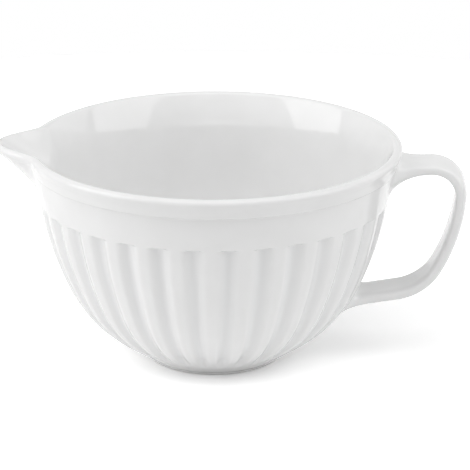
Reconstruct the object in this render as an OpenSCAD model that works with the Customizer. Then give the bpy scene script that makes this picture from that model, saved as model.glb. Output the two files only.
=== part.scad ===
// Batter bowl: a fluted, glazed ceramic mixing bowl with a pouring spout and a strap handle.
// Millimetres, +Z up, the table at z = 0. The spout points along -X and the handle along +X.

/* [Bowl] */
// Height of the rim above the table
bowl_height = 130; // [115:1:150]
// Radius of the rim at its widest
rim_radius = 110; // [100:1:125]
// Thickness of the wall
wall = 6; // [4:0.5:8]
// Thickness of the floor
floor_thickness = 6; // [4:0.5:9]
// Height of the plain band between the flutes and the collar
band_height = 20; // [18:1:26]
// Lean of the plain band from upright, in degrees
band_lean = 9.4; // [6:0.2:11]
// Radius of the wall where its upper and lower curves meet, as a share of the rim's
belly_width = 0.775; // [0.75:0.005:0.79]
// Height at which those curves meet, as a share of the fluted wall's
belly_height = 0.427; // [0.38:0.001:0.47]
// Radius of the underside, as a share of the rim's
underside_width = 0.373; // [0.34:0.001:0.42]

/* [Foot] */
// Height of the foot ring
foot_height = 5.5; // [3:0.5:8]
// How far the foot ring is set in from the edge of the bowl's underside
foot_set_in = 1; // [0.5:0.5:6]
// Width of the foot ring
foot_width = 7; // [5:0.5:12]
// Rounding of the foot ring's lower edges
foot_edge = 1.2; // [0.5:0.1:2]

/* [Rim] */
// Height of the raised collar, up to the rim
collar_height = 12; // [9:0.5:15]
// How far the collar's lower edge stands out from the wall
collar_step = 1.8; // [1:0.1:3]
// How much the collar widens between its lower edge and the rim
collar_flare = 2.7; // [1:0.1:4]
// Thickness of the rounded lip
lip = 6.4; // [5:0.2:8]

/* [Flutes] */
// Number of flutes around the wall
flute_count = 32; // [24:4:36]
// Depth of a flute at its upper end
flute_depth = 1.8; // [1:0.1:2.2]
// Depth of a flute at its lower end
flute_end_depth = 0.5; // [0.3:0.1:0.8]
// Angle that a flute takes up around the bowl, in degrees
flute_angle = 5.6; // [3:0.2:7]
// Height of the plain strip of wall under the flutes
flute_stop = 2.6; // [2:0.2:6]

/* [Spout] */
// How far the spout's tip reaches beyond the rim
spout_reach = 19; // [12:1:26]
// Depth of the spout under the rim
spout_depth = 24; // [20:1:24]
// Height of the band that is left under the piece of rim that carries the spout
spout_gap = 2; // [1:0.5:2]
// Half of the angle that the spout takes up on the rim, in degrees
spout_half_angle = 18.5; // [14:0.5:22]
// Half of the angle of the piece of rim that carries the spout, in degrees
spout_seat_angle = 28; // [25:1:34]

/* [Handle] */
// Width of the strap
strap_width = 27; // [18:1:34]
// Thickness of the strap
strap_thickness = 7.2; // [6:0.1:10]
// How far under the rim the middle of the strap leaves the bowl
handle_drop = 13.5; // [12:0.5:17]
// Rise of the strap as it leaves the rim, in degrees
handle_rise = 4; // [0:0.5:9]
// Length of the straight run that leaves the rim
handle_run = 18.5; // [14:0.5:26]
// Radius of the upper bend
shoulder_radius = 19; // [15:0.5:23]
// Lean of the strap inwards where the upper bend ends, in degrees
shoulder_lean = 12; // [8:0.5:16]
// Lean of the strap inwards where the long side of the handle ends, in degrees
side_lean = 30; // [27:0.5:33]
// Radius of the lower bend
heel_bend_radius = 32; // [26:1:38]
// Height at which the lower bend ends, as a share of the bowl's
handle_end = 0.316; // [0.28:0.001:0.34]
// Fall of the strap as it goes to the wall, in degrees
handle_fall = 9; // [5:0.5:14]
// How much the strap grows on every side where it meets the wall
strap_flare = 2.5; // [1:0.25:3.5]
// How far from the wall the strap starts to grow
flare_length = 14; // [8:1:18]
// Thickness of the slip under the lower end of the handle
slip = 1.5; // [0.8:0.1:2.5]
// How far the slip spreads beyond the strap
slip_spread = 1; // [0.5:0.25:2]

/* [Hidden] */
$fn = 96;
glaze = "white";
bare_clay = "wheat";

// How far a cutting shape passes what it cuts
past = 1;

function mix(low, high, share) = low + (high - low) * share;

// The side outline of the wall: a straight band, an upper curve and a lower curve, each tangent to the next
ledge = bowl_height - collar_height;
ledge_radius = rim_radius - collar_flare - collar_step;
flute_top = ledge - band_height;
function band_radius(z) = ledge_radius - (ledge - z) * tan(band_lean);
function facing(lean) = [cos(lean), -sin(lean)];

// The curve between two points that has a given lean at the first: its radius, and its lean at the second
function curve_radius(start, end, lean) = let (way = start - end) way * way / (2 * way * facing(lean));
function end_lean(start, end, lean) = let (way = start - end) 2 * atan(way.x / way.y) - lean;

band_foot = [band_radius(flute_top), flute_top];
change_point = [belly_width * rim_radius, mix(foot_height, flute_top, belly_height)];
underside_radius = underside_width * rim_radius;
belly_curve = curve_radius(band_foot, change_point, band_lean);
belly_centre = band_foot - belly_curve * facing(band_lean);
curve_change = end_lean(band_foot, change_point, band_lean);
heel_curve = curve_radius(change_point, [underside_radius, foot_height], curve_change);
heel_centre = change_point - heel_curve * facing(curve_change);
function on_curve(centre, curve, z) = centre.x + sqrt(curve ^ 2 - (z - centre.y) ^ 2);
function wall_radius(z) = z > flute_top ? band_radius(z)
    : z > change_point.y ? on_curve(belly_centre, belly_curve, z)
    : on_curve(heel_centre, heel_curve, z);

// Where a line square to the wall meets the bowl's axis, and how far such lines go on outside the wall
function at_axis(point, lean) = [0, point.y + point.x * tan(lean)];
beyond = 40;

// The flutes' lower ends, and the lean that makes a flute shallower towards them
flute_end = [wall_radius(foot_height + flute_stop), foot_height + flute_stop];
flute_end_lean = asin((heel_centre.y - flute_end.y) / heel_curve);
flute_lean = atan((flute_depth - flute_end_depth) / cross(flute_end - band_foot, facing(flute_end_lean)));

// The rim
lip_radius = lip / 2;
lip_centre = [rim_radius - lip_radius, bowl_height - lip_radius];
collar_radius = ledge_radius + collar_step;
inner_band = wall / cos(band_lean);
function collar_face(z) = collar_radius
    + (z - ledge) * (rim_radius - collar_radius) / (lip_centre.y - ledge);
function collar_inside(z) = ledge_radius - inner_band
    + (z - ledge) * (lip_centre.x - lip_radius - ledge_radius + inner_band) / (lip_centre.y - ledge);

// The spout's piece of rim, as columns of points from one side of its seat to the other
spout_foot = flute_top + spout_gap;
spout_keel = bowl_height - spout_depth;
spout_columns = 28;
wall_steps = 6;
collar_steps = 4;
lip_steps = 6;
keel_softness = 4;
ledge_softness = 1;
fade_angle = spout_seat_angle - spout_half_angle;
keel_slope = spout_reach / (lip_centre.y - spout_keel);
channel_rise = wall * (sqrt(1 + keel_slope ^ 2) - 1);

// The strap's centreline: a run, a shoulder, a long side, a lower bend and a tail, each tangent to the next
function heading(angle) = [cos(angle), sin(angle)];
function right_of(angle) = [sin(angle), -cos(angle)];
function bend_centre(point, angle, radius) = point + radius * right_of(angle);
function bend_end(centre, angle, radius) = centre - radius * right_of(angle);
handle_height = bowl_height - handle_drop;
run_start = [band_radius(handle_height), handle_height];
shoulder_start = run_start + handle_run * heading(handle_rise);
shoulder_centre = bend_centre(shoulder_start, handle_rise, shoulder_radius);
shoulder_end_angle = -90 - shoulder_lean;
side_start = bend_end(shoulder_centre, shoulder_end_angle, shoulder_radius);
side_end_angle = -90 - side_lean;
tail_angle = -180 + handle_fall;
heel_bend_drop = heel_bend_radius * (cos(side_end_angle) - cos(tail_angle));
side_radius = (side_start.y - heel_bend_drop - handle_end * bowl_height)
    / (cos(shoulder_end_angle) - cos(side_end_angle));
side_centre = bend_centre(side_start, shoulder_end_angle, side_radius);
heel_bend_start = bend_end(side_centre, side_end_angle, side_radius);
heel_bend_centre = bend_centre(heel_bend_start, side_end_angle, heel_bend_radius);
tail_start = bend_end(heel_bend_centre, tail_angle, heel_bend_radius);
tail_length = tail_start.x - wall_radius(tail_start.y) + 3 * wall;
run_steps = 6;
shoulder_steps = 14;
side_steps = 8;
heel_bend_steps = 10;
tail_steps = 12;
edge_steps = 8;

// A band of heights across the half section
module between(low, high) translate([0, low]) square([rim_radius + beyond, high - low]);

// The area inside the wall's outline, moved inwards by an inset
module wall_area(inset) {
    band_line = band_foot - inset * facing(band_lean);
    band_top = [band_radius(bowl_height) - inset / cos(band_lean), bowl_height];
    polygon([[0, change_point.y], band_line, band_top, [0, bowl_height]]);
    intersection() {
        translate(belly_centre) circle(belly_curve - inset);
        polygon([at_axis(band_foot, band_lean), band_foot + beyond * facing(band_lean),
                 change_point + beyond * facing(curve_change), at_axis(change_point, curve_change)]);
    }
    intersection() {
        translate(heel_centre) circle(heel_curve - inset);
        between(-beyond, flute_top);
    }
}

// The side outline of a flute's hollow, which runs out of the wall
module flute_area() difference() {
    intersection() {
        wall_area(-past);
        polygon([band_foot - wall * facing(band_lean), band_foot + wall * facing(band_lean),
                 [band_foot.x + wall, flute_end.y - wall],
                 flute_end + wall * facing(flute_end_lean), flute_end - wall * facing(flute_end_lean)]);
    }
    translate(band_foot) rotate(flute_lean) translate(-band_foot) wall_area(flute_depth);
}

// The hollows numbered first to last, with a ridge that faces +X before number 0
module flutes(first, last)
    for (i = [first : last])
        rotate_extrude(angle = flute_angle, start = (i + 0.5) * 360 / flute_count - flute_angle / 2)
            flute_area();

// The space that the spout's piece takes out of the wall and the collar
module spout_seat()
    rotate_extrude(angle = 2 * spout_seat_angle, start = 180 - spout_seat_angle)
        between(spout_foot, bowl_height + past);

module fluted_bowl() color(glaze) difference() {
    rotate_extrude() difference() {
        intersection() {
            wall_area(0);
            between(foot_height, ledge);
        }
        intersection() {
            wall_area(wall);
            between(foot_height + floor_thickness, bowl_height);
        }
    }
    flutes(0, flute_count - 1);
    spout_seat();
}

module collar_area() {
    polygon([[collar_inside(ledge), ledge], [collar_radius, ledge],
             [rim_radius, lip_centre.y], lip_centre - [lip_radius, 0]]);
    translate(lip_centre) circle(lip_radius);
}

module rim_collar() color(glaze) difference() {
    rotate_extrude() collar_area();
    spout_seat();
}

// How far along the spout's bulge an angle from its middle lies, from 1 at the tip to 0 at its sides
function bulge(angle) = abs(angle) < spout_half_angle ? cos(90 * angle / spout_half_angle) ^ 2 : 0;

// How much of the collar's step is left at an angle from the spout's middle
function collar_left(angle) = let (share = min(max((abs(angle) - spout_half_angle) / fade_angle, 0), 1))
    share ^ 2 * (3 - 2 * share);

// A slope that starts softly at zero
function soft_slope(x) = x < -keel_softness ? 0
    : x > keel_softness ? x
    : (x + keel_softness) ^ 2 / (4 * keel_softness);

function outer_reach(z, angle) = bulge(angle) * keel_slope * soft_slope(z - spout_keel);
function inner_reach(z, angle) = bulge(angle) * keel_slope * soft_slope(z - spout_keel - channel_rise);

// The outer face, which keeps the collar's step at the sides and loses it under the spout
function smooth_gain(z) = (rim_radius - band_radius(lip_centre.y))
    * ((z - spout_foot) / (lip_centre.y - spout_foot)) ^ 2;
function stepped_gain(z, above) = above ? collar_face(z) - band_radius(z) : 0;
function outer_radius(z, angle, above) = band_radius(z) + outer_reach(z, angle)
    + collar_left(angle) * stepped_gain(z, above)
    + (1 - collar_left(angle)) * smooth_gain(z);
function inner_radius(z, angle) = inner_reach(z, angle)
    + (z > ledge ? collar_inside(z) : band_radius(z) - inner_band);

// One upright section of the spout's piece, from its outer foot over the lip to its inner foot
function spout_section(angle) = let (
    soften = ledge_softness * (1 - collar_left(angle)),
    low = ledge - soften,
    high = ledge + soften,
    outside = outer_radius(lip_centre.y, angle, true),
    inside = inner_radius(lip_centre.y, angle),
    middle = (outside + inside) / 2,
    half = (outside - inside) / 2
) concat(
    [for (i = [0 : wall_steps]) let (z = mix(spout_foot, low, i / wall_steps))
        [outer_radius(z, angle, false), z]],
    [for (i = [0 : collar_steps - 1]) let (z = mix(high, lip_centre.y, i / collar_steps))
        [outer_radius(z, angle, true), z]],
    [for (i = [0 : lip_steps]) let (turn = 180 * i / lip_steps)
        [middle + half * cos(turn), lip_centre.y + lip_radius * sin(turn)]],
    [for (i = [1 : collar_steps]) let (z = mix(lip_centre.y, ledge, i / collar_steps))
        [inner_radius(z, angle), z]],
    [for (i = [1 : wall_steps]) let (z = mix(ledge, spout_foot, i / wall_steps))
        [inner_radius(z, angle), z]]
);

module pouring_spout() color(glaze) {
    sections = [for (i = [0 : spout_columns])
        let (angle = mix(-spout_seat_angle, spout_seat_angle, i / spout_columns))
            [for (p = spout_section(angle)) [-p.x * cos(angle), -p.x * sin(angle), p.y]]];
    count = len(sections[0]);
    points = [for (section = sections) each section];
    sides = [for (i = [0 : spout_columns - 1], j = [0 : count - 1])
        let (a = i * count + j, b = i * count + (j + 1) % count)
            each [[a, b, b + count], [a, b + count, a + count]]];
    last = spout_columns * count;
    ends = [for (j = [0 : floor(count / 2) - 1])
        let (k = count - 1 - j)
            each [[j, k, j + 1], [k, k - 1, j + 1],
                  [last + j, last + j + 1, last + k], [last + k, last + j + 1, last + k - 1]]];
    polyhedron(points, concat(sides, [for (face = ends) if (face[0] != face[1] && face[1] != face[2]) face]));
}

// The strap's section, with round edges, made larger on every side by an amount
module strap_section(more) {
    thickness = strap_thickness + 2 * more;
    edge = (strap_width - strap_thickness) / 2;
    square([thickness, 2 * edge], center = true);
    for (side = [-edge, edge]) translate([0, side]) circle(thickness / 2);
}

module strap_run(start, angle, length, more)
    translate([start.x, 0, start.y]) rotate([0, 90 - angle, 0])
        linear_extrude(length) strap_section(more);

// The strap's stations, each a point of its centreline and the angle at which it is heading
function run_stations(start, angle, length, steps) = [for (i = [0 : steps - 1])
    [start + length * i / steps * heading(angle), angle]];
function bend_stations(centre, radius, from_angle, to_angle, steps) = [for (i = [0 : steps - 1])
    let (angle = mix(from_angle, to_angle, i / steps)) [bend_end(centre, angle, radius), angle]];

// How much larger the strap is at a point, from its distance to the wall
function flare(point) = let (far = max(point.x - wall_radius(point.y), 0))
    strap_flare * max(1 - far / flare_length, 0) ^ 2;

// The ring of points around the strap at a station
function strap_ring(station) = let (
    half = strap_thickness / 2 + flare(station[0]),
    edge = (strap_width - strap_thickness) / 2
) [for (side = [1, -1], i = [0 : edge_steps]) let (
        turn = mix(-90, 90, i / edge_steps),
        across = side * (edge + half * cos(turn)),
        spot = station[0] + side * half * sin(turn) * right_of(station[1])
    ) [spot.x, across, spot.y]];

module strap() {
    stations = concat(
        run_stations(run_start, handle_rise, handle_run, run_steps),
        bend_stations(shoulder_centre, shoulder_radius, handle_rise, shoulder_end_angle, shoulder_steps),
        bend_stations(side_centre, side_radius, shoulder_end_angle, side_end_angle, side_steps),
        bend_stations(heel_bend_centre, heel_bend_radius, side_end_angle, tail_angle, heel_bend_steps),
        run_stations(tail_start, tail_angle, tail_length, tail_steps)
    );
    rings = [for (station = stations) strap_ring(station)];
    count = len(rings[0]);
    last = (len(rings) - 1) * count;
    sides = [for (i = [0 : len(rings) - 2], j = [0 : count - 1])
        let (a = i * count + j, b = i * count + (j + 1) % count)
            each [[a, b, b + count], [a, b + count, a + count]]];
    ends = [[for (j = [count - 1 : -1 : 0]) j], [for (j = [0 : count - 1]) last + j]];
    polyhedron([for (ring = rings) each ring], concat(sides, ends));
}

// The bowl and its collar as a filled shape
module filled_bowl() rotate_extrude() {
    intersection() {
        wall_area(0);
        between(foot_height, ledge);
    }
    intersection() {
        polygon([[0, ledge], [collar_radius, ledge], [rim_radius, lip_centre.y], [0, lip_centre.y]]);
        between(ledge, bowl_height);
    }
}

// The space inside the faces that the handle's two ends are cut to
module upper_seat() translate([0, 0, flute_top]) cylinder(r = rim_radius, h = bowl_height - flute_top);
module lower_seat() rotate_extrude() intersection() {
    wall_area(-slip);
    between(0, flute_top);
}

module handle() color(glaze) difference() {
    strap();
    upper_seat();
    lower_seat();
}

module upper_handle_joint() color(glaze) difference() {
    intersection() {
        strap_run(run_start - wall * heading(handle_rise), handle_rise, wall + handle_run,
                  strap_flare + slip_spread);
        upper_seat();
    }
    filled_bowl();
}

module lower_handle_joint() color(glaze) difference() {
    intersection() {
        strap_run(tail_start, tail_angle, tail_length, strap_flare + slip_spread);
        lower_seat();
    }
    difference() {
        filled_bowl();
        flutes(-1, 0);
    }
}

module foot_ring() color(bare_clay) rotate_extrude() {
    outside = underside_radius - foot_set_in;
    translate([outside - foot_width, foot_edge]) square([foot_width, foot_height - foot_edge]);
    translate([outside - foot_width + foot_edge, 0]) square([foot_width - 2 * foot_edge, 2 * foot_edge]);
    for (x = [outside - foot_width + foot_edge, outside - foot_edge])
        translate([x, foot_edge]) circle(foot_edge);
}

fluted_bowl();
rim_collar();
pouring_spout();
handle();
upper_handle_joint();
lower_handle_joint();
foot_ring();
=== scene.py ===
"""A fluted, glazed ceramic batter bowl on a white floor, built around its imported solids. Metres, +Z up."""

import math

import bpy
import numpy as np
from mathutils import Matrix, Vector


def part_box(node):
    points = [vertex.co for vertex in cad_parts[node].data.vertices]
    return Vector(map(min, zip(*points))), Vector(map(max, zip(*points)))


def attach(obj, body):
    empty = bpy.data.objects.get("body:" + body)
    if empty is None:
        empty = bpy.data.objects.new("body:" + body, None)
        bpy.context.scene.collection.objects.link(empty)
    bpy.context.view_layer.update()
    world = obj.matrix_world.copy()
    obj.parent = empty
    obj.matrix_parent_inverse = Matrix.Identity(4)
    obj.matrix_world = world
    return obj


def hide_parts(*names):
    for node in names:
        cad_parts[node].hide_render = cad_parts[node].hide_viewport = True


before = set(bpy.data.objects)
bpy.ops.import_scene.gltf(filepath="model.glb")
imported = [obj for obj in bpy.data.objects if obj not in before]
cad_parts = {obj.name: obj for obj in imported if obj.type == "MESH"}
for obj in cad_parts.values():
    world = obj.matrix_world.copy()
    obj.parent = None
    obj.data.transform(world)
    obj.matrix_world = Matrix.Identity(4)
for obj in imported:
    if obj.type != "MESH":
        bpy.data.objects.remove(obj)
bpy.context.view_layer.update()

# Sizes of the solids
COLLAR_LOW, COLLAR_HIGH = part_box("rim_collar")
_, SHELL_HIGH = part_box("fluted_bowl")
_, FOOT_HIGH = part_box("foot_ring")
SPOUT_LOW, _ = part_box("pouring_spout")
BOWL_HEIGHT = COLLAR_HIGH.z
RIM_RADIUS = COLLAR_HIGH.y
LEDGE = COLLAR_LOW.z
LEDGE_RADIUS = SHELL_HIGH.y
FOOT_HEIGHT = FOOT_HIGH.z
SPOUT_FOOT = SPOUT_LOW.z
SPOUT_REACH = -SPOUT_LOW.x - RIM_RADIUS

# Bowl
WALL = 0.006
FLOOR_THICKNESS = 0.006
BAND_HEIGHT = 0.020
BAND_LEAN = math.radians(9.4)
BELLY_WIDTH = 0.775
BELLY_HEIGHT = 0.427
UNDERSIDE_WIDTH = 0.373
TOE_LEAN = math.radians(57)
FLOOR_LEAN = math.radians(55)

# Flutes
FLUTE_COUNT = 32
FLUTE_TURN = math.radians(0.6)
FLUTE_DEPTH = 0.0025
FLUTE_SHARE = 0.78
FLUTE_STEP = 0.0013
FLUTE_NARROWING = 0.6
FLUTE_END_RADIUS = 0.048
FLUTE_FADE = 0.014

# Rim
COLLAR_STEP = 0.0018
SOFT_STEP = 4 * COLLAR_STEP
COLLAR_COVE = 0.0004
LEDGE_HOLLOW = 0.0005
LEDGE_EDGE = 0.0007
LEDGE_SLOPE = 0.00004
LIP_RADIUS = 0.0032
LIP_TRIM = 0.0001
LIP_SQUARENESS = 2.3
LIP_TURN_OUT = 0.0010
INNER_FLARE = 0.31
INNER_SOFTNESS = 0.009

# Spout
SPOUT_DEPTH = 0.024
SPOUT_HALF_ANGLE = math.radians(18.5)
SPOUT_FADE_ANGLE = math.radians(9.5)
KEEL_SOFTNESS = 0.004

# Handle
STRAP_WIDTH = 0.027
STRAP_THICKNESS = 0.0071
STRAP_SQUARENESS = 3.6
HANDLE_DROP = 0.0126
HANDLE_RISE = math.radians(1)
HANDLE_RUN = 0.0218
SHOULDER_RADIUS = 0.0165
SHOULDER_LEAN = math.radians(5)
SIDE_LEAN = math.radians(30)
HEEL_BEND_RADIUS = 0.032
HANDLE_END = 0.316
HANDLE_FALL = math.radians(9)

# Roots of the handle: length along the strap and width on the wall, over and under the strap
UPPER_ROOT = {"over": (0.014, 0.0035), "under": (0.021, 0.014)}
LOWER_ROOT = {"over": (0.009, 0.0030), "under": (0.014, 0.0055)}

# The roots' edge: how far it laps on under the wall's face, how low it lies there, and how deep it ends
ROOT_LAP = 0.001
ROOT_SINK = 0.00015
ROOT_DEPTH = 0.003

# Foot
FOOT_TRIM = 0.0012
FOOT_RADIUS = FOOT_HIGH.y - FOOT_TRIM
FOOT_WIDTH = 0.007
FOOT_EDGE = 0.0012
FOOT_TUCK = 0.0002
WIPED = math.radians(-50)

# Fineness of the meshes
COLUMNS_PER_FLUTE = 16
CLOSE_ROWS_LENGTH = 1.15 * FLUTE_STEP
MIDDLE_SHARE = 0.1
SECTION_POINTS = 48
SHOULDER_RINGS = 28
SIDE_RINGS = 18
HEEL_BEND_RINGS = 22
ROOT_RINGS = 13
RINGS_TO_ROOT = 4
FOOT_COLUMNS = 192
FOOT_EDGE_POINTS = 6

# Rows in each stretch of the bowl's skin, with both its ends
ROWS = {
    "underside": 8,
    "toe": 15,
    "heel": 40,
    "belly": 33,
    "flute step": 12,
    "band": 20,
    "ledge": 6,
    "collar edge": 7,
    "collar": 10,
    "lip": 25,
    "inner rim": 24,
    "inner belly": 17,
    "inner heel": 16,
    "floor curve": 14,
    "floor": 8,
}

# The camera's place, found from the ellipse of the rim in the photograph
CAMERA_DISTANCE = 2.4
CAMERA_ELEVATION = math.radians(18.5)
CAMERA_AZIMUTH = math.radians(1.4)
CAMERA_TARGET = Vector((0.0122, 0, 0.0735))
CAMERA_LENS = 313.2
CAMERA_SIGHT = 100

# Studio
AMBIENT = 0.23
FLOOR_RADIUS = 0.65
FLOOR_CORNERS = 120
FLOOR_LIT = 0.95
FLOOR_SEEN = 1.46

# Azimuth and elevation in degrees, distance, width, height and level of each softbox
SOFTBOXES = {
    "left_softbox": (-75, 32, 1.4, 1.0, 1.5, 0.57),
    "left_front_softbox": (-42, 18, 1.5, 1.0, 1.0, 0.07),
    "left_back_softbox": (-118, 28, 1.5, 1.0, 1.0, 0.05),
    "right_softbox": (70, 34, 1.5, 1.2, 1.6, 0.45),
    "right_back_softbox": (118, 28, 1.5, 1.0, 1.0, 0.10),
    "front_softbox": (0, 72, 1.5, 1.2, 1.2, 0.25),
    "low_softbox": (0, 8, 1.5, 1.4, 0.3, 0.045),
}


def smooth(share):
    """Runs softly from 0 to 1 as share does."""
    share = np.clip(share, 0, 1)
    return share * share * (3 - 2 * share)


def soft_slope(x, softness):
    """A slope of 1 that starts softly around x = 0."""
    inside = (x + softness) ** 2 / (4 * softness)
    return np.where(x < -softness, 0, np.where(x > softness, x, inside))


def mix(low, high, share):
    return low + (high - low) * share


def squared(share, squareness):
    """Turns the cosine or sine of a circle into that of a squarer round, which has a squareness over 2."""
    return np.sign(share) * np.abs(share) ** (2 / squareness)


def facing(lean):
    """The way that a wall with a lean faces, as outwards and up."""
    return np.stack([np.cos(lean), -np.sin(lean)], -1)


def curve_between(start, end, lean):
    """Centre, radius and last lean of the curve from start to end that has a given lean at start."""
    way = start - end
    radius = way @ way / (2 * way @ facing(lean))
    last_lean = 2 * math.atan2(way[0], way[1]) - lean
    return start - radius * facing(lean), radius, last_lean


# The side outline of the wall
FLUTE_TOP = LEDGE - BAND_HEIGHT
COLLAR_FOOT = LEDGE + LEDGE_SLOPE + LEDGE_EDGE


def band_radius(z):
    """Radius of the plain band, or of its line carried on, at a height."""
    return LEDGE_RADIUS - (LEDGE - z) * math.tan(BAND_LEAN)


BAND_FOOT = np.array([band_radius(FLUTE_TOP), FLUTE_TOP])
CHANGE_POINT = np.array([BELLY_WIDTH * RIM_RADIUS, mix(FOOT_HEIGHT, FLUTE_TOP, BELLY_HEIGHT)])
UNDERSIDE_EDGE = np.array([UNDERSIDE_WIDTH * RIM_RADIUS, FOOT_HEIGHT])
BELLY_CENTRE, BELLY_CURVE, CHANGE_LEAN = curve_between(BAND_FOOT, CHANGE_POINT, BAND_LEAN)
HEEL_CENTRE, HEEL_CURVE, _ = curve_between(CHANGE_POINT, UNDERSIDE_EDGE, CHANGE_LEAN)
TOE = HEEL_CENTRE + HEEL_CURVE * facing(TOE_LEAN)
TOE_END = np.array([FOOT_RADIUS, TOE[1] - (TOE[0] - FOOT_RADIUS) / math.tan(TOE_LEAN)])


def turn_to_flat(curve, lean, height):
    """Centre and radius of the curve that leaves the heel's curve at a lean and ends flat at a height."""
    leaving = HEEL_CENTRE + curve * facing(lean)
    radius = (leaving[1] - height) / (1 - math.sin(lean))
    return leaving - radius * facing(lean), radius


def wall_lean(z):
    """Lean of the wall at a height."""
    belly = np.arcsin(np.clip((BELLY_CENTRE[1] - z) / BELLY_CURVE, -1, 1))
    heel = np.arcsin(np.clip((HEEL_CENTRE[1] - z) / HEEL_CURVE, -1, 1))
    return np.where(z > FLUTE_TOP, BAND_LEAN, np.where(z > CHANGE_POINT[1], belly, heel))


def wall_radius(z):
    """Radius of the wall at a height, without flutes and with the collar's step made soft."""
    step = COLLAR_STEP * smooth((z - LEDGE) / SOFT_STEP + 0.5)
    belly = BELLY_CENTRE[0] + BELLY_CURVE * np.cos(wall_lean(z))
    heel = HEEL_CENTRE[0] + HEEL_CURVE * np.cos(wall_lean(z))
    return np.where(z > FLUTE_TOP, band_radius(z) + step, np.where(z > CHANGE_POINT[1], belly, heel))


def outside_wall(points):
    """How far points lie outside the wall, measured level."""
    return np.hypot(points[:, 0], points[:, 1]) - wall_radius(points[:, 2])


# The spout, as a change to the upper wall
LIP_HEIGHT = BOWL_HEIGHT - LIP_RADIUS
KEEL = BOWL_HEIGHT - SPOUT_DEPTH
KEEL_SLOPE = SPOUT_REACH / (LIP_HEIGHT - KEEL)
CHANNEL_RISE = WALL * (math.sqrt(1 + KEEL_SLOPE ** 2) - 1)
INNER_BAND = WALL / math.cos(BAND_LEAN)


def from_spout(angle):
    """Angle between a direction and the spout's, which is -X."""
    return np.abs(angle - math.pi)


def bulge(angle):
    """1 at the spout's tip, 0 at its sides and round the rest of the rim."""
    share = np.clip(from_spout(angle) / SPOUT_HALF_ANGLE, 0, 1)
    return np.cos(math.pi / 2 * share) ** 2


def collar_left(angle):
    """How much of the collar's step is left beside the spout."""
    return smooth((from_spout(angle) - SPOUT_HALF_ANGLE) / SPOUT_FADE_ANGLE)


def outer_radius(z, angle, stands):
    """Radius of the outer face above the flutes' tops. stands is how far the collar stands out there."""
    rise = np.clip((z - SPOUT_FOOT) / (LIP_HEIGHT - SPOUT_FOOT), 0, None)
    plain = (RIM_RADIUS - band_radius(LIP_HEIGHT)) * rise ** 2
    reach = KEEL_SLOPE * soft_slope(z - KEEL, KEEL_SOFTNESS)
    return band_radius(z) + bulge(angle) * reach + mix(plain, stands, collar_left(angle))


def inner_radius(z, angle):
    """Radius of the inner face above the flutes' tops."""
    reach = KEEL_SLOPE * soft_slope(z - KEEL - CHANNEL_RISE, KEEL_SOFTNESS)
    flare = INNER_FLARE * soft_slope(z - LEDGE, INNER_SOFTNESS)
    return band_radius(z) - INNER_BAND + flare + bulge(angle) * reach


def collar_stands(z):
    """How far the collar's face stands out from the line of the band."""
    share = np.clip((z - LEDGE) / (LIP_HEIGHT - LEDGE), 0, 1)
    face = mix(LEDGE_RADIUS + COLLAR_STEP, RIM_RADIUS, share) - COLLAR_COVE * np.sin(math.pi * share)
    return face - band_radius(z)


def flute_hollow(angle):
    """1 in the middle of a flute and 0 on the ridges. A ridge faces about +X."""
    turn = (angle - FLUTE_TURN) * FLUTE_COUNT / (2 * math.pi)
    away = np.abs(turn % 1 - 0.5) * 2
    return np.cos(math.pi / 2 * np.clip(away / FLUTE_SHARE, 0, 1)) ** 2


def flute_depth(points, lean):
    """Depth of the flutes at points of the wall: abrupt at the top and fading out above the foot."""
    top = smooth(BELLY_CURVE * (lean - BAND_LEAN) / FLUTE_STEP)
    end = smooth((points[:, 0] - FLUTE_END_RADIUS) / FLUTE_FADE)
    return FLUTE_DEPTH * (points[:, 0] / BAND_FOOT[0]) ** FLUTE_NARROWING * top * end


def add_mesh(name, points, faces, material):
    mesh = bpy.data.meshes.new(name)
    mesh.from_pydata([tuple(p) for p in points], [], faces)
    mesh.polygons.foreach_set("use_smooth", [True] * len(mesh.polygons))
    mesh.materials.append(material)
    piece = bpy.data.objects.new(name, mesh)
    bpy.context.scene.collection.objects.link(piece)
    return piece


def grid_faces(rows, columns):
    """Faces of a grid whose rows are closed rings."""
    faces = []
    for i in range(rows - 1):
        low = i * columns
        high = low + columns
        for j in range(columns):
            k = (j + 1) % columns
            faces.append((low + j, low + k, high + k, high + j))
    return faces


def angles_round(count):
    """Evenly spaced angles round a full turn."""
    return np.arange(count) * 2 * math.pi / count


def turned(radius, z, angle):
    """Points at a radius and height, turned about the bowl's axis."""
    return np.stack([radius * np.cos(angle), radius * np.sin(angle), z], -1)


# Rows round the bowl, which make up its skin: a radius, a height and how much painted shade darkens the glaze
# there


def plain_rows(points, angle):
    return [(radius + 0 * angle, z + 0 * angle, 0 * angle) for radius, z in points]


def flat_rows(radius, z, shares, angle):
    """Rows at one height, at shares of a radius."""
    return plain_rows([(radius * share, z) for share in shares], angle)


def fluted_rows(points, leans, angle):
    """Rows of the wall with the flutes sunk into it. Where they are deep, painted shade darkens the glaze."""
    rows = []
    for point, lean, depth in zip(points, leans, flute_depth(points, leans)):
        hollow = depth * flute_hollow(angle)
        out, up = facing(lean)
        # The third value is painted shade, strongest in the flutes' deepest hollows
        rows.append((point[0] - hollow * out, point[1] - hollow * up, hollow / FLUTE_DEPTH))
    return rows


def outer_row(z, stands, angle):
    """A row of the outer face above the flutes' tops."""
    z = z + 0 * angle
    return outer_radius(z, angle, stands), z, 0 * angle


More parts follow.
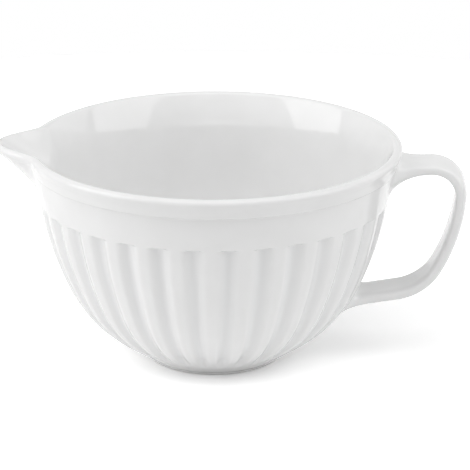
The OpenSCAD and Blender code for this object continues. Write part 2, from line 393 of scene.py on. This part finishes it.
def lower_rows(angle):
    """Rows of the underside and the fluted wall."""
    underside = np.linspace(MIDDLE_SHARE, 1, ROWS["underside"])
    rows = flat_rows(FOOT_RADIUS - FOOT_WIDTH / 2, FOOT_HEIGHT, underside, angle)
    toe = mix(TOE_END, TOE, np.linspace(0, 1, ROWS["toe"])[:-1, None])
    rows += fluted_rows(toe, np.full(len(toe), TOE_LEAN), angle)
    heel_leans = np.linspace(TOE_LEAN, CHANGE_LEAN, ROWS["heel"])
    rows += fluted_rows(HEEL_CENTRE + HEEL_CURVE * facing(heel_leans), heel_leans, angle)
    step_lean = BAND_LEAN + CLOSE_ROWS_LENGTH / BELLY_CURVE
    belly_leans = np.linspace(CHANGE_LEAN, step_lean, ROWS["belly"])[1:]
    step_leans = np.linspace(step_lean, BAND_LEAN, ROWS["flute step"])[1:]
    for leans in (belly_leans, step_leans):
        rows += fluted_rows(BELLY_CENTRE + BELLY_CURVE * facing(leans), leans, angle)
    return rows


def band_rows(angle):
    """Rows of the plain band, the hollow under the ledge and the collar's lower edge."""
    heights = np.linspace(FLUTE_TOP, LEDGE - LEDGE_HOLLOW, ROWS["band"])[1:]
    rows = [outer_row(z, 0, angle) for z in heights]
    for turn in np.linspace(0, math.pi / 2, ROWS["ledge"])[1:]:
        z = LEDGE - LEDGE_SLOPE - LEDGE_HOLLOW * (1 - math.sin(turn))
        rows.append(outer_row(z, LEDGE_HOLLOW * (1 - math.cos(turn)), angle))
    for turn in np.linspace(0, math.pi / 2, ROWS["collar edge"]):
        z = COLLAR_FOOT - LEDGE_EDGE * math.cos(turn)
        rows.append(outer_row(z, collar_stands(z) - LEDGE_EDGE * (1 - math.sin(turn)), angle))
    return rows


def lip_shape(angle):
    """Lean, half thickness, radius and height of the lip, a round end that stands square to the wall."""

    def middle(z):
        return (outer_radius(z, angle, collar_stands(z)) + inner_radius(z, angle)) / 2

    small = LIP_RADIUS / 8
    lean = np.arctan((middle(LIP_HEIGHT) - middle(LIP_HEIGHT - small)) / small)
    thick = outer_radius(LIP_HEIGHT, angle, collar_stands(LIP_HEIGHT)) - inner_radius(LIP_HEIGHT, angle)
    half = thick / 2 * np.cos(lean) - LIP_TRIM
    radius = middle(LIP_HEIGHT) + LIP_TURN_OUT * bulge(angle) * np.sin(lean)
    height = LIP_HEIGHT + LIP_TURN_OUT * bulge(angle) * np.cos(lean)
    return lean, half, radius, height


def rim_rows(angle):
    """Rows of the collar's face and the lip."""
    lean, half, lip_radius, lip_height = lip_shape(angle)
    outer_end = lip_height - half * np.sin(lean)
    rows = []
    for share in np.linspace(0, 1, ROWS["collar"])[1:-1]:
        z = mix(COLLAR_FOOT, outer_end, share)
        rows.append(outer_row(z, collar_stands(z), angle))
    for turn in np.linspace(0, math.pi, ROWS["lip"]):
        along = half * squared(np.cos(turn), LIP_SQUARENESS)
        above = half * squared(np.sin(turn), LIP_SQUARENESS)
        radius = lip_radius + along * np.cos(lean) + above * np.sin(lean)
        rows.append((radius, lip_height - along * np.sin(lean) + above * np.cos(lean), 0 * angle))
    return rows


def inside_rows(angle):
    """Rows of the inside, from the lip to the floor."""
    lean, half, _, lip_height = lip_shape(angle)
    inner_end = lip_height + half * np.sin(lean)
    belly_curve = BELLY_CURVE - WALL
    heel_curve = HEEL_CURVE - WALL
    band_end = BELLY_CENTRE + belly_curve * facing(BAND_LEAN)
    rows = []
    for share in np.linspace(0, 1, ROWS["inner rim"])[1:]:
        z = mix(inner_end, band_end[1], share)
        rows.append((inner_radius(z, angle), z, 0 * angle))
    floor_height = FOOT_HEIGHT + FLOOR_THICKNESS
    floor_centre, floor_curve = turn_to_flat(heel_curve, FLOOR_LEAN, floor_height)
    belly_leans = np.linspace(BAND_LEAN, CHANGE_LEAN, ROWS["inner belly"])[1:]
    heel_leans = np.linspace(CHANGE_LEAN, FLOOR_LEAN, ROWS["inner heel"])[1:]
    floor_leans = np.linspace(FLOOR_LEAN, math.pi / 2, ROWS["floor curve"])[1:]
    rows += plain_rows(BELLY_CENTRE + belly_curve * facing(belly_leans), angle)
    rows += plain_rows(HEEL_CENTRE + heel_curve * facing(heel_leans), angle)
    rows += plain_rows(floor_centre + floor_curve * facing(floor_leans), angle)
    rows += flat_rows(floor_centre[0], floor_height, np.linspace(1, MIDDLE_SHARE, ROWS["floor"])[1:], angle)
    return rows


def make_bowl(material):
    columns = FLUTE_COUNT * COLUMNS_PER_FLUTE
    angle = angles_round(columns)
    rows = lower_rows(angle) + band_rows(angle) + rim_rows(angle) + inside_rows(angle)
    radius, z, painted_flute_shade = [np.array(values) for values in zip(*rows)]
    points = turned(radius, z, angle).reshape(-1, 3)
    underside = len(points)
    floor = underside + 1
    poles = [(0, 0, z[0, 0]), (0, 0, z[-1, 0])]
    faces = grid_faces(len(rows), columns)
    last = (len(rows) - 1) * columns
    for j in range(columns):
        k = (j + 1) % columns
        faces.append((underside, k, j))
        faces.append((floor, last + j, last + k))
    bowl = add_mesh("glazed_bowl", np.vstack([points, poles]), faces, material)
    # Painted shade for the flutes' hollows, which the glaze material reads
    painted_shade = bowl.data.attributes.new("painted_flute_shade", "FLOAT", "POINT")
    painted_shade.data.foreach_set("value", np.append(painted_flute_shade.ravel(), [0, 0]).astype(np.float32))
    return bowl


def heading(angle):
    """Direction along the strap, in the upright plane of the handle."""
    return np.array([math.cos(angle), 0, math.sin(angle)])


def outward(angle):
    """Direction out of the strap's outer face."""
    return np.array([-math.sin(angle), 0, math.cos(angle)])


def strap_section():
    """Places across and through the strap, and the directions in which its surface faces there."""
    turn = angles_round(SECTION_POINTS)
    across = squared(np.cos(turn), STRAP_SQUARENESS)
    through = squared(np.sin(turn), STRAP_SQUARENESS)
    steep = STRAP_SQUARENESS - 1
    faces_across = np.sign(across) * np.abs(across) ** steep / STRAP_WIDTH
    faces_through = np.sign(through) * np.abs(through) ** steep / STRAP_THICKNESS
    length = np.hypot(faces_across, faces_through)
    places = (across * STRAP_WIDTH / 2, through * STRAP_THICKNESS / 2)
    return places, (faces_across / length, faces_through / length)


SECTION_PLACES, SECTION_FACES = strap_section()


def in_section(values, angle):
    """Turns values across and through the strap into directions or places."""
    across, through = values
    return np.outer(across, (0, 1, 0)) + np.outer(through, outward(angle))


def strap_ring(centre, angle):
    return centre + in_section(SECTION_PLACES, angle)


def strap_bend(start, start_angle, radius, end_angle, count):
    """Rings of a bend to the right, without its first, and where the bend ends."""
    centre = start - radius * outward(start_angle)
    angles = np.linspace(start_angle, end_angle, count + 1)[1:]
    rings = [strap_ring(centre + radius * outward(a), a) for a in angles]
    return rings, centre + radius * outward(end_angle)


def meet_wall(ring, ahead):
    """Where straight lines that go ahead from a ring's points meet the wall, found by halving."""
    halvings = 50
    near = np.zeros(len(ring))
    far = np.full(len(ring), RIM_RADIUS)
    for _ in range(halvings):
        reach = (near + far) / 2
        outside = outside_wall(ring + reach[:, None] * ahead) > 0
        near = np.where(outside, reach, near)
        far = np.where(outside, far, reach)
    return ring + near[:, None] * ahead


def root_rings(start, angle, ahead, sizes):
    """Rings that spread from the strap onto the wall, which lies ahead, and end inside it."""
    foot = meet_wall(strap_ring(start, angle), ahead)
    round_wall = np.arctan2(foot[:, 1], foot[:, 0])
    out, rise = facing(wall_lean(foot[:, 2])).T
    wall_faces = np.stack([out * np.cos(round_wall), out * np.sin(round_wall), rise], 1)
    strap_faces = in_section(SECTION_FACES, angle)
    spread = strap_faces - (strap_faces * wall_faces).sum(1)[:, None] * wall_faces
    spread = spread / np.linalg.norm(spread, axis=1)[:, None]
    under = smooth((1 - strap_faces[:, 2]) / 2)[:, None]
    length = mix(sizes["over"][0], sizes["under"][0], under)
    width = mix(sizes["over"][1], sizes["under"][1], under)

    def onto_wall(points):
        above = out * outside_wall(points)
        return points - above[:, None] * wall_faces

    rings = []
    for turn in np.linspace(0, math.pi / 2, ROOT_RINGS):
        beside = onto_wall(foot + spread * width * (1 - math.cos(turn)))
        rings.append(beside - ahead * length * (1 - math.sin(turn)))
    lap = onto_wall(foot + spread * (width + ROOT_LAP)) - ROOT_SINK * wall_faces
    return rings + [lap, lap - ROOT_DEPTH * wall_faces]


def between(first, second, count):
    """Rings between two others."""
    return [mix(first, second, share) for share in np.linspace(0, 1, count + 2)[1:-1]]


def make_handle(material):
    height = BOWL_HEIGHT - HANDLE_DROP
    run_start = np.array([band_radius(height), 0, height])
    shoulder_start = run_start + HANDLE_RUN * heading(HANDLE_RISE)
    side_angle = -math.pi / 2 - SHOULDER_LEAN
    heel_angle = -math.pi / 2 - SIDE_LEAN
    tail_angle = -math.pi + HANDLE_FALL
    shoulder, side_start = strap_bend(
        shoulder_start, HANDLE_RISE, SHOULDER_RADIUS, side_angle, SHOULDER_RINGS)
    heel_bend_drop = HEEL_BEND_RADIUS * (math.cos(heel_angle) - math.cos(tail_angle))
    side_drop = side_start[2] - heel_bend_drop - HANDLE_END * BOWL_HEIGHT
    side_radius = side_drop / (math.cos(side_angle) - math.cos(heel_angle))
    side, side_end = strap_bend(side_start, side_angle, side_radius, heel_angle, SIDE_RINGS)
    heel_bend, tail_start = strap_bend(
        side_end, heel_angle, HEEL_BEND_RADIUS, tail_angle, HEEL_BEND_RINGS)
    upper_root = root_rings(shoulder_start, HANDLE_RISE, -heading(HANDLE_RISE), UPPER_ROOT)
    lower_root = root_rings(tail_start, tail_angle, heading(tail_angle), LOWER_ROOT)
    first = strap_ring(shoulder_start, HANDLE_RISE)
    rings = upper_root[::-1] + between(upper_root[0], first, RINGS_TO_ROOT) + [first]
    rings += shoulder + side + heel_bend
    rings += between(rings[-1], lower_root[0], RINGS_TO_ROOT) + lower_root
    faces = grid_faces(len(rings), SECTION_POINTS)
    last = (len(rings) - 1) * SECTION_POINTS
    faces.append(tuple(range(SECTION_POINTS))[::-1])
    faces.append(tuple(last + j for j in range(SECTION_POINTS)))
    return add_mesh("strap_handle", np.vstack(rings), faces, material)


def foot_strip(name, outline, material):
    """A strip of the ring that the bowl stands on, from its outline."""
    angle = angles_round(FOOT_COLUMNS)
    radius, z = np.array(outline).T
    points = turned(radius[:, None], z[:, None] + 0 * angle, angle).reshape(-1, 3)
    return add_mesh(name, points, grid_faces(len(outline), FOOT_COLUMNS), material)


def make_foot(glaze, clay):
    """The foot ring: its glazed sides and its face, which is wiped free of glaze."""
    outer = FOOT_RADIUS - FOOT_EDGE
    inner = FOOT_RADIUS - FOOT_WIDTH + FOOT_EDGE

    def edge(middle, start, end):
        return [(middle + FOOT_EDGE * math.cos(a), FOOT_EDGE + FOOT_EDGE * math.sin(a))
                for a in np.linspace(start, end, FOOT_EDGE_POINTS)]

    sides = edge(outer, WIPED, 0) + [TOE_END + (0, FOOT_TUCK), (FOOT_RADIUS - FOOT_WIDTH, FOOT_HEIGHT)]
    sides += edge(inner, -math.pi, -math.pi - WIPED)
    face = edge(inner, -math.pi - WIPED, -math.pi / 2) + edge(outer, -math.pi / 2, WIPED)
    return foot_strip("glazed_foot", sides, glaze), foot_strip("foot_face", face, clay)


def new_material(name):
    material = bpy.data.materials.new(name)
    material.use_nodes = True
    nodes = material.node_tree.nodes
    return material, nodes, material.node_tree.links, nodes["Principled BSDF"]


def add_noise(nodes, links, place, scale, detail):
    noise = nodes.new("ShaderNodeTexNoise")
    noise.inputs["Scale"].default_value = scale
    noise.inputs["Detail"].default_value = detail
    links.new(place.outputs["Object"], noise.inputs["Vector"])
    return noise.outputs["Fac"]


def add_range(nodes, links, value, low, high):
    """Spreads the middle half of a noise over a range."""
    quarter = 0.25
    spread = nodes.new("ShaderNodeMapRange")
    spread.inputs["From Min"].default_value = quarter
    spread.inputs["From Max"].default_value = 1 - quarter
    spread.inputs["To Min"].default_value = low
    spread.inputs["To Max"].default_value = high
    links.new(value, spread.inputs["Value"])
    return spread.outputs["Result"]


def add_mix(nodes, links, share, first, second):
    """A colour between two others. Each of them is a colour or an output."""
    blend = nodes.new("ShaderNodeMix")
    blend.data_type = "RGBA"
    links.new(share, blend.inputs["Factor"])
    for name, colour in (("A", first), ("B", second)):
        socket = next(s for s in blend.inputs if s.name == name and s.type == "RGBA")
        if isinstance(colour, tuple):
            socket.default_value = (*colour, 1)
        else:
            links.new(colour, socket)
    return next(s for s in blend.outputs if s.type == "RGBA")


def add_bump(nodes, links, height, distance, strength):
    bump = nodes.new("ShaderNodeBump")
    bump.inputs["Distance"].default_value = distance
    bump.inputs["Strength"].default_value = strength
    links.new(height, bump.inputs["Height"])
    return bump.outputs["Normal"]


def glaze_material():
    """White glossy glaze, with painted shade, a little darker and cooler, in the flutes' hollows, and a faint
    ripple.
    """
    dull_white = (0.812, 0.812, 0.810)
    bright_white = (0.842, 0.842, 0.841)
    # Painted shade colour, darker and cooler, for the hollows of the flutes
    flute_shade_white = (0.782, 0.785, 0.786)
    material, nodes, links, shader = new_material("white_glaze")
    place = nodes.new("ShaderNodeTexCoord")
    cloud = add_range(nodes, links, add_noise(nodes, links, place, scale=45, detail=4), low=0, high=1)
    white = add_mix(nodes, links, cloud, dull_white, bright_white)
    # Painted shade: the glaze is darkened in the flutes' hollows, most where they are deepest
    painted_flute_shade = nodes.new("ShaderNodeAttribute")
    painted_flute_shade.attribute_name = "painted_flute_shade"
    painted_shade = add_mix(nodes, links, painted_flute_shade.outputs["Fac"], white, flute_shade_white)
    links.new(painted_shade, shader.inputs["Base Color"])
    patches = add_noise(nodes, links, place, scale=30, detail=3)
    links.new(add_range(nodes, links, patches, low=0.05, high=0.10), shader.inputs["Roughness"])
    ripple = add_noise(nodes, links, place, scale=110, detail=2)
    links.new(add_bump(nodes, links, ripple, distance=0.0003, strength=0.10), shader.inputs["Normal"])
    shader.inputs["IOR"].default_value = 1.5
    return material


def clay_material():
    """Bare fired clay, matt and grainy."""
    dark_clay = (0.80, 0.79, 0.765)
    pale_clay = (0.86, 0.85, 0.83)
    grain_clay = (0.72, 0.69, 0.65)
    material, nodes, links, shader = new_material("bare_clay")
    place = nodes.new("ShaderNodeTexCoord")
    cloud = add_range(nodes, links, add_noise(nodes, links, place, scale=120, detail=5), low=0, high=1)
    grain = add_noise(nodes, links, place, scale=1800, detail=3)
    body = add_mix(nodes, links, cloud, dark_clay, pale_clay)
    grains = add_mix(nodes, links, add_range(nodes, links, grain, low=0, high=0.5), body, grain_clay)
    links.new(grains, shader.inputs["Base Color"])
    links.new(add_range(nodes, links, grain, low=0.75, high=0.95), shader.inputs["Roughness"])
    links.new(add_bump(nodes, links, grain, distance=0.0002, strength=0.5), shader.inputs["Normal"])
    return material


def seen_ray(nodes, links):
    """1 for rays from the camera, off gloss and through glass, which see the studio as white."""
    path = nodes.new("ShaderNodeLightPath")
    total = path.outputs["Is Camera Ray"]
    for name in ("Is Glossy Ray", "Is Transmission Ray"):
        most = nodes.new("ShaderNodeMath")
        most.operation = "MAXIMUM"
        links.new(total, most.inputs[0])
        links.new(path.outputs[name], most.inputs[1])
        total = most.outputs["Value"]
    return total


def make_floor():
    """A plain pale floor, which looks white where the light falls on it and keeps the shadow."""
    material, nodes, links, shader = new_material("studio_floor")
    lit = (FLOOR_LIT, FLOOR_LIT, FLOOR_LIT)
    seen = (FLOOR_SEEN, FLOOR_SEEN, FLOOR_SEEN)
    links.new(add_mix(nodes, links, seen_ray(nodes, links), lit, seen), shader.inputs["Base Color"])
    shader.inputs["Roughness"].default_value = 1.0
    shader.inputs["Specular IOR Level"].default_value = 0.0
    angle = angles_round(FLOOR_CORNERS)
    floor = add_mesh("studio_floor", turned(FLOOR_RADIUS, 0 * angle, angle), [range(FLOOR_CORNERS)], material)


def make_world():
    """Even light from all round, seen as plain white."""
    world = bpy.data.worlds.new("studio")
    world.use_nodes = True
    nodes = world.node_tree.nodes
    links = world.node_tree.links
    light = nodes["Background"]
    seen = nodes.new("ShaderNodeBackground")
    for background, strength in ((light, AMBIENT), (seen, 1.0)):
        background.inputs["Color"].default_value = (1, 1, 1, 1)
        background.inputs["Strength"].default_value = strength
    choice = nodes.new("ShaderNodeMixShader")
    links.new(seen_ray(nodes, links), choice.inputs["Fac"])
    links.new(light.outputs["Background"], choice.inputs[1])
    links.new(seen.outputs["Background"], choice.inputs[2])
    links.new(choice.outputs["Shader"], nodes["World Output"].inputs["Surface"])
    bpy.context.scene.world = world


def aim(thing, target, distance, azimuth, elevation):
    """Puts a lamp or a camera at a distance from a target that it looks at. Azimuth 0 is the front."""
    level = math.cos(elevation)
    back = Vector((math.sin(azimuth) * level, -math.cos(azimuth) * level, math.sin(elevation)))
    thing.location = target + distance * back
    thing.rotation_mode = "QUATERNION"
    thing.rotation_quaternion = (-back).to_track_quat("-Z", "Y")
    bpy.context.scene.collection.objects.link(thing)


def add_softbox(name, azimuth, elevation, distance, width, height, level):
    """A softbox that lights the bowl. Azimuth 90 is the right; level 1 is plain light."""
    light = bpy.data.lights.new(name, "AREA")
    light.shape = "RECTANGLE"
    light.size = width
    light.size_y = height
    light.energy = level * math.pi ** 2 * distance ** 2
    lamp = bpy.data.objects.new(name, light)
    lamp.visible_camera = False
    middle = Vector((0, 0, BOWL_HEIGHT / 2))
    aim(lamp, middle, distance, math.radians(azimuth), math.radians(elevation))


def make_camera():
    camera = bpy.data.cameras.new("camera")
    camera.lens = CAMERA_LENS
    camera.clip_end = CAMERA_SIGHT
    holder = bpy.data.objects.new("camera", camera)
    aim(holder, CAMERA_TARGET, CAMERA_DISTANCE, CAMERA_AZIMUTH, CAMERA_ELEVATION)
    bpy.context.scene.camera = holder


make_camera()

glaze = glaze_material()
bowl = make_bowl(glaze)
handle = make_handle(glaze)
foot, foot_face = make_foot(glaze, clay_material())
for piece, slot in ((bowl, "glaze"), (handle, "glaze"), (foot, "glaze"), (foot_face, "bare_clay")):
    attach(piece, "root")
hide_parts("fluted_bowl", "rim_collar", "pouring_spout")
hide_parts("handle", "upper_handle_joint", "lower_handle_joint")
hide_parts("foot_ring")
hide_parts("foot_ring")

make_floor()
make_world()
for softbox_name, softbox_values in SOFTBOXES.items():
    add_softbox(softbox_name, *softbox_values)

bpy.context.scene.view_settings.view_transform = "Standard"
